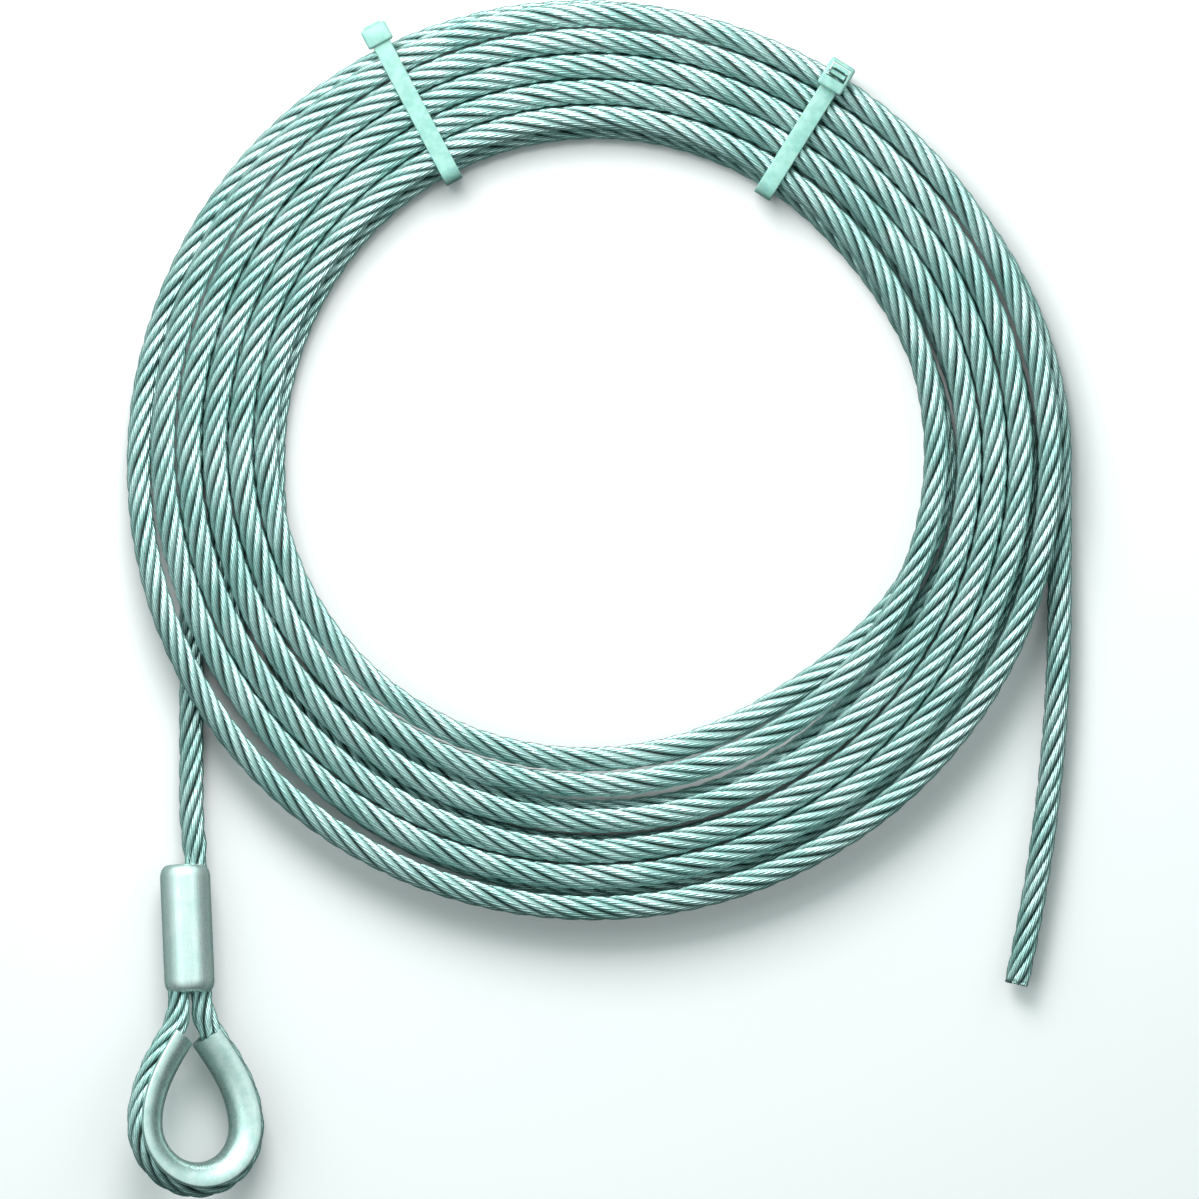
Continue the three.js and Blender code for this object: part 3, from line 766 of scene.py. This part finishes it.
def ferrule():
    corner = np.linspace(0, math.pi / 2, 13)
    flat = FERRULE_END_RADIUS - FERRULE_LIP
    wide = FERRULE_RADIUS - flat
    shoulder = [(flat + wide * math.sin(c), -FERRULE_TAPER * (1 - math.cos(c))) for c in corner]
    upper = np.array([(0, 0), *shoulder])
    lower = upper[::-1] * [1, -1] - [0, FERRULE_LENGTH]
    levels = np.linspace(-FERRULE_PLAIN_FROM, FERRULE_PLAIN_FROM - FERRULE_LENGTH, 5)
    waist = np.array([(FERRULE_RADIUS, y) for y in levels])
    made = lathe("ferrule_sleeve", np.concatenate([upper, waist, lower]))
    for x in (-BORE_OFFSET, BORE_OFFSET):
        made = combine(made, bore(x), "DIFFERENCE")
    made.data.transform(EYE_TURN.to_matrix().to_4x4())
    made.data.transform(translation(EYE_ORIGIN + COIL_CENTRE))
    shade(made, 40)
    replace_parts(finish_piece(made, MATERIALS["ferrule"], "eye_end"), "ferrule")


def translation(offset):
    return Matrix.Translation(Vector(offset * MM))


def bore(x):
    """A cutter for one bore, flared where the rope comes out."""
    mouth = 0.5
    rounding = np.linspace(0, math.pi / 2, 6)
    top = [(BORE_RADIUS + mouth * (1 - math.cos(c)), -mouth + mouth * math.sin(c)) for c in rounding]
    upper = np.array([(0, 1), (BORE_RADIUS + mouth, 1), *top[::-1]])
    lower = upper[::-1] * [1, -1] - [0, FERRULE_LENGTH]
    made = lathe("bore", np.concatenate([upper, lower]), 64)
    made.data.transform(translation(np.array([x, 0, 0])))
    return made


def thimble_section():
    """The bent channel's outline as (outward, up): half a tube with short flanges and rounded rims."""
    bend = np.linspace(math.pi / 2, 3 * math.pi / 2, 41)
    outer = np.stack([THIMBLE_RADIUS * np.cos(bend), THIMBLE_RADIUS * np.sin(bend)], axis=1)
    inner = np.stack([GROOVE_RADIUS * np.cos(bend), GROOVE_RADIUS * np.sin(bend)], axis=1)[::-1]
    corner = np.linspace(0, math.pi / 2, 5)
    reach = FLANGE - RIM_ROUND
    outer_rim, inner_rim = THIMBLE_RADIUS - RIM_ROUND, GROOVE_RADIUS + RIM_ROUND
    rise = [(reach + RIM_ROUND * math.sin(c), outer_rim + RIM_ROUND * math.cos(c)) for c in corner]
    fall = [(reach + RIM_ROUND * math.cos(c), inner_rim - RIM_ROUND * math.sin(c)) for c in corner]
    rim = np.array(rise + fall)
    return np.concatenate([outer, rim * [1, -1], inner, rim[::-1]])


def thimble():
    side = eye_side(0)
    path = np.concatenate([side[::-1], side[1:] * [-1, 1, 1]])
    travel = normalised(np.gradient(path, axis=0))
    outward = np.cross(UP, travel)
    section = thimble_section()
    rings = path[:, None] + section[None, :, :1] * outward[:, None] + section[None, :, 1:] * UP
    points, faces = tube(rings)
    made = new_object("thimble_channel", from_eye(points) + COIL_CENTRE, faces)
    shade(made, 50)
    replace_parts(finish_piece(made, MATERIALS["zinc"], "eye_end"), "thimble")


# ---- The ties ----


def bundle_at(angle):
    """The inside of a strap's loop: its outer radius, top, width and height."""
    turns = np.arange((math.pi - angle) / TURN, COIL_TURNS, 1)
    radii = coil_radius(turns)
    outer = radii.max() + ROPE_RADIUS + STRAP_GAP
    inner = radii.min() - ROPE_RADIUS - STRAP_INNER_GAP
    top = UPPER_Z + ROPE_RADIUS + STRAP_GAP
    return outer, top, outer - inner, top - STRAP_THICKNESS


def strap_line(along, across):
    """The strap's inner face as points and outward directions, from the root round to the free end."""
    corners = [
        (-STRAP_CORNER, -across + STRAP_CORNER, 0),
        (-along + STRAP_CORNER, -across + STRAP_CORNER, -90),
        (-along + STRAP_CORNER, -STRAP_CORNER, -180),
    ]
    points, outward = [(0, ROOT_START)], [(1, 0)]
    for a, b, start in corners:
        for degrees in np.linspace(start, start - 90, 13):
            direction = (math.cos(math.radians(degrees)), math.sin(math.radians(degrees)))
            points.append((a + STRAP_CORNER * direction[0], b + STRAP_CORNER * direction[1]))
            outward.append(direction)
    points.append((HEAD["far"] + STUB, 0))
    outward.append((0, 1))
    points, outward = np.array(points), np.array(outward)
    length = length_along(points)
    at = np.linspace(0, length[-1], round(length[-1] / STRAP_STEP) + 1)
    fine = np.stack([np.interp(at, length, points[:, k]) for k in range(2)], axis=1)
    facing = normalised(np.stack([np.interp(at, length, outward[:, k]) for k in range(2)], axis=1))
    return at, fine, facing


def strap(name, along, across):
    """The band with rounded edges, and a ladder of teeth between two rails on its inner face."""
    at, line, facing = strap_line(along, across)
    half, edge = STRAP_WIDTH / 2, STRAP_EDGE
    corner = np.radians([0, 30, 60, 90])
    out = [(half - edge + edge * math.sin(c), STRAP_THICKNESS - edge + edge * math.cos(c)) for c in corner]
    back = [(half - edge + edge * math.cos(c), edge - edge * math.sin(c)) for c in corner]
    right = np.array(out + back)
    ladder = half - STRAP_RAIL
    section = np.concatenate([right, [(ladder, 0), (ladder - 0.1, 0), (-ladder + 0.1, 0), (-ladder, 0)]])
    section = np.concatenate([section, (right * [-1, 1])[::-1]])
    saw = TOOTH_HEIGHT * ((at / TOOTH_PITCH) % 1.0)
    rings = np.empty((len(at), len(section), 3))
    for k, (wide, thick) in enumerate(section):
        lift = np.full(len(at), thick)
        if abs(wide) < ladder - 0.05:
            lift = thick + TOOTH_FOOT + saw
        rings[:, k, :2] = line + lift[:, None] * facing
        rings[:, k, 2] = wide
    return new_object(name, *tube(rings[:, ::-1]))


def tie(prefix, angle, head_on_top):
    """One moulding of strap and head. "a" runs the way the free end leaves the head and "b" across it."""
    outer, top, width, height = bundle_at(angle)
    along, across = (height, width) if head_on_top else (width, height)
    made = block(
        f"{prefix}_moulding",
        (HEAD["near"], HEAD["far"]),
        (HEAD["low"], HEAD["high"]),
        (-HEAD["width"] / 2, HEAD["width"] / 2),
    )
    bevelled(made, HEAD_BEVEL, 4)
    window = block(
        "window",
        (-1, HEAD["far"] + 1),
        (WINDOW["low"], WINDOW["high"]),
        (-WINDOW["width"] / 2, WINDOW["width"] / 2),
    )
    combine(made, window, "DIFFERENCE")
    combine(made, strap("band", along, across), "UNION")
    place = np.eye(4)
    if head_on_top:
        place[:3, :3] = [[0, 1, 0], [0, 0, 1], [1, 0, 0]]
    else:
        place[:3, :3] = [[1, 0, 0], [0, 0, -1], [0, 1, 0]]
    place[:3, 3] = np.array([outer, 0, top]) * MM
    made.data.transform(Matrix(place.tolist()))
    made.data.transform(Matrix.Rotation(angle, 4, "Z"))
    made.data.transform(translation(COIL_CENTRE))
    shade(made, 40)
    finish_piece(made, MATERIALS["nylon"], prefix)
    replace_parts(made, f"{prefix}_strap")


def keep_pawls():
    """The pawls keep their own shape and take the ties' nylon."""
    for name in ("left_tie_pawl", "right_tie_pawl"):
        pawl = frame["nodes"][name]
        pawl.data.materials.clear()
        pawl.data.materials.append(MATERIALS["nylon"])


# ---- Stage ----


def floor():
    """One plain pale sheet. It is dimmer in the metal's reflections than to the eye, all over alike."""
    low, high = cad_box
    reach = FLOOR_REACH * (high - low).length / MM
    z = low.z / MM - FLOOR_GAP
    corners = np.array([[-reach, -reach, z], [reach, -reach, z], [reach, reach, z], [-reach, reach, z]])
    made = new_object("floor", corners, [np.array([[0, 1, 2, 3]])], smooth=False)
    n = material("pale_floor")
    seen = n.node("LightPath", {}).outputs["Is Camera Ray"]
    base = n.mix(seen, rgb(0.10, 0.14, 0.13), rgb(0.95, 0.95, 0.95))
    n.done(Base_Color=base, Roughness=0.9, Specular_IOR_Level=0.1)
    made.data.materials.append(n.owner)


def lamp(name, place, size, power):
    """A soft square lamp that faces the middle of the coil."""
    data = bpy.data.lights.new(name, "AREA")
    data.size = size
    data.energy = power
    made = bpy.data.objects.new(name, data)
    made.location = place
    target = Vector(COIL_CENTRE * MM)
    made.rotation_euler = (target - made.location).to_track_quat("-Z", "Y").to_euler()
    made.visible_camera = False
    bpy.context.scene.collection.objects.link(made)


def studio():
    """A sky bright overhead and beyond the coil and dark on the near side, two strips and a lamp."""
    scene = bpy.context.scene
    n = Nodes(bpy.data.worlds.new("studio"), "Background")
    away = n.node("TexCoord", {}).outputs["Generated"]
    bright_side = Vector((-0.20, 0.60, 0.77)).normalized()
    facing = n.node("VectorMath", {0: away, 1: bright_side}, operation="DOT_PRODUCT").outputs["Value"]
    colour = n.mix(n.spread(facing, -0.10, 0.95), rgb(0.003, 0.016, 0.014), rgb(0.86, 1.0, 0.98))
    sideways = n.calc("ABSOLUTE", n.node("SeparateXYZ", {0: away}).outputs[0])
    strip = n.calc("MULTIPLY", n.spread(sideways, 0.36, 0.46), n.spread(sideways, 0.84, 0.72))
    scene.world = n.done(Color=colour, Strength=n.calc("MULTIPLY_ADD", strip, 0.55, 0.88))
    lamp("key", (-0.10, 0.30, 0.38), 0.30, 2.2)
    scene.view_settings.view_transform = "Standard"
    scene.view_settings.look = "None"


def camera():
    """Straight down through a long lens, with the whole sling filling the square frame."""
    low, high = cad_box
    data = bpy.data.cameras.new("camera")
    data.sensor_width = 36
    field = (high - low).y * VIEW_MARGIN
    data.lens = data.sensor_width * CAMERA_HEIGHT / field
    data.clip_end = 50
    made = bpy.data.objects.new("camera", data)
    x, y = (COIL_CENTRE - VIEW_OFFSET)[:2] * MM
    made.location = (x, y, CAMERA_HEIGHT)
    bpy.context.scene.collection.objects.link(made)
    bpy.context.scene.camera = made


build_rope()
ferrule()
thimble()
tie("left_tie", LEFT_TIE_ANGLE, head_on_top=False)
tie("right_tie", RIGHT_TIE_ANGLE, head_on_top=True)
keep_pawls()
floor()
studio()
camera()
